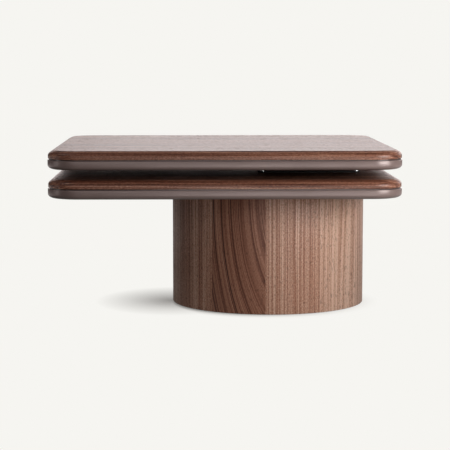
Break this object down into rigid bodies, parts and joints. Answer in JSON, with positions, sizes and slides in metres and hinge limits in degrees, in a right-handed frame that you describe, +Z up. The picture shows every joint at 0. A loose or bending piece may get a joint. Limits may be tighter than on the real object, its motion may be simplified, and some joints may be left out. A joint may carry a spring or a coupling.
{
  "type": "swivel coffee table",
  "caption": "Low coffee table with two equal rounded rectangular wood tops on a drum base; the upper top swivels out over the lower one on a ball bearing.",
  "frame": {"origin": "on the floor, below the middle of the two stacked tops in their closed position", "axes": "+X along the tops' long side, towards the side of the drum and the swivel; +Y from front to back; +Z up"},
  "size_m": [0.84, 0.75, 0.4081],
  "materials": {
    "walnut_veneer": "satin lacquered walnut veneer, grain along the tops and upright round the drum",
    "taupe_lacquer": "satin taupe bronze lacquer on fibreboard",
    "raw_board": "raw fibreboard",
    "black_steel": "black powder coat",
    "zinc_steel": "bright zinc plate",
    "ball_steel": "polished",
    "brass": "machined",
    "black_nylon": "moulded, matte",
    "glide": "moulded, matte"
  },
  "bodies": {
    "base": {"lower_board": "walnut_veneer", "lower_groove_sheet": "taupe_lacquer", "lower_panel": "taupe_lacquer", "swivel_lower_plate": "black_steel", "lower_plate_screw_1": "zinc_steel", "lower_plate_screw_2": "zinc_steel", "lower_plate_screw_3": "zinc_steel", "lower_plate_screw_4": "zinc_steel", "drum_shell": "walnut_veneer", "drum_top_disc": "raw_board", "drum_bottom_ring": "raw_board", "drum_rib_lengthwise": "raw_board", "drum_rib_crosswise": "raw_board", "drum_bolt_1": "zinc_steel", "drum_bolt_2": "zinc_steel", "drum_bolt_3": "zinc_steel", "drum_bolt_4": "zinc_steel", "drum_washer_1": "zinc_steel", "drum_washer_2": "zinc_steel", "drum_washer_3": "zinc_steel", "drum_washer_4": "zinc_steel", "panel_insert_1": "brass", "panel_insert_2": "brass", "panel_insert_3": "brass", "panel_insert_4": "brass", "floor_glide_1": "glide", "floor_glide_2": "glide", "floor_glide_3": "glide", "floor_glide_4": "glide", "floor_glide_5": "glide", "floor_glide_6": "glide"},
    "ball_train": {"ball_retainer": "black_nylon", "ball_1": "ball_steel", "ball_2": "ball_steel", "ball_3": "ball_steel", "ball_4": "ball_steel", "ball_5": "ball_steel", "ball_6": "ball_steel", "ball_7": "ball_steel", "ball_8": "ball_steel", "ball_9": "ball_steel", "ball_10": "ball_steel", "ball_11": "ball_steel", "ball_12": "ball_steel"},
    "upper_top": {"upper_board": "walnut_veneer", "upper_groove_sheet": "taupe_lacquer", "upper_panel": "taupe_lacquer", "swivel_upper_plate": "black_steel", "upper_plate_screw_1": "zinc_steel", "upper_plate_screw_2": "zinc_steel", "upper_plate_screw_3": "zinc_steel", "upper_plate_screw_4": "zinc_steel"}
  },
  "joints": [
    {"name": "top_swivel", "type": "hinge", "parent": "base", "child": "upper_top", "pos_m": [0.213, 0, 0.35155], "axis": [0, 0, 1], "continuous": true},
    {"name": "ball_train_roll", "type": "hinge", "parent": "base", "child": "ball_train", "pos_m": [0.213, 0, 0.35155], "axis": [0, 0, 1], "continuous": true}
  ],
  "couplings": [
    {"joint": "ball_train_roll", "follows": "top_swivel", "ratio": 0.5}
  ]
}
